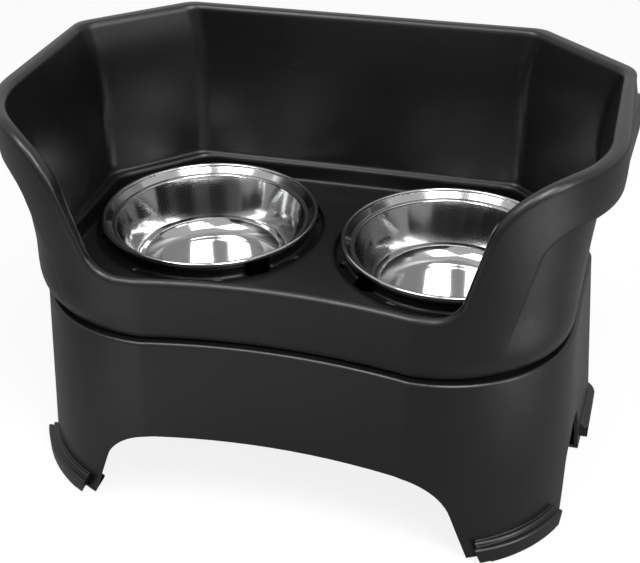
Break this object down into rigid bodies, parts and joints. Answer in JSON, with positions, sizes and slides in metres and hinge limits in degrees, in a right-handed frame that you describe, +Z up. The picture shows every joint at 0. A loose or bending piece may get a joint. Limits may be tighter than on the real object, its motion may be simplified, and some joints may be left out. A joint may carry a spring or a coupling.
{
  "type": "elevated dog feeder",
  "caption": "Raised dog feeder: black moulded base on legs with a spill reservoir, a lift-off tray with high splash walls and low front, and lift-out steel bowls for water and food.",
  "frame": {"origin": "on the floor, under the middle of the whole part's bounding box", "axes": "+X is the feeder's right seen from its open front, -Y its low open front, +Z up"},
  "size_m": [0.6026, 0.3912, 0.403],
  "materials": {
    "black_plastic": "satin charcoal-black moulded plastic with a fine grain",
    "polished_steel": "polished stainless sheet with fine turned lines",
    "pad_rubber": "dull black rubber"
  },
  "bodies": {
    "base": {"lower_base": "black_plastic", "foot_pad_front_left": "pad_rubber", "foot_pad_front_right": "pad_rubber", "foot_pad_rear_left": "pad_rubber", "foot_pad_rear_right": "pad_rubber"},
    "tray": {"upper_tray": "black_plastic"},
    "water_bowl": {"water_bowl": "polished_steel"},
    "food_bowl": {"food_bowl": "polished_steel"}
  },
  "joints": [
    {"name": "tray_lift", "type": "slide", "parent": "base", "child": "tray", "axis": [0, 0, 1], "range_m": [0, 0.15]},
    {"name": "water_bowl_lift", "type": "slide", "parent": "tray", "child": "water_bowl", "axis": [0, 0, 1], "range_m": [0, 0.1]},
    {"name": "food_bowl_lift", "type": "slide", "parent": "tray", "child": "food_bowl", "axis": [0, 0, 1], "range_m": [0, 0.1]}
  ]
}
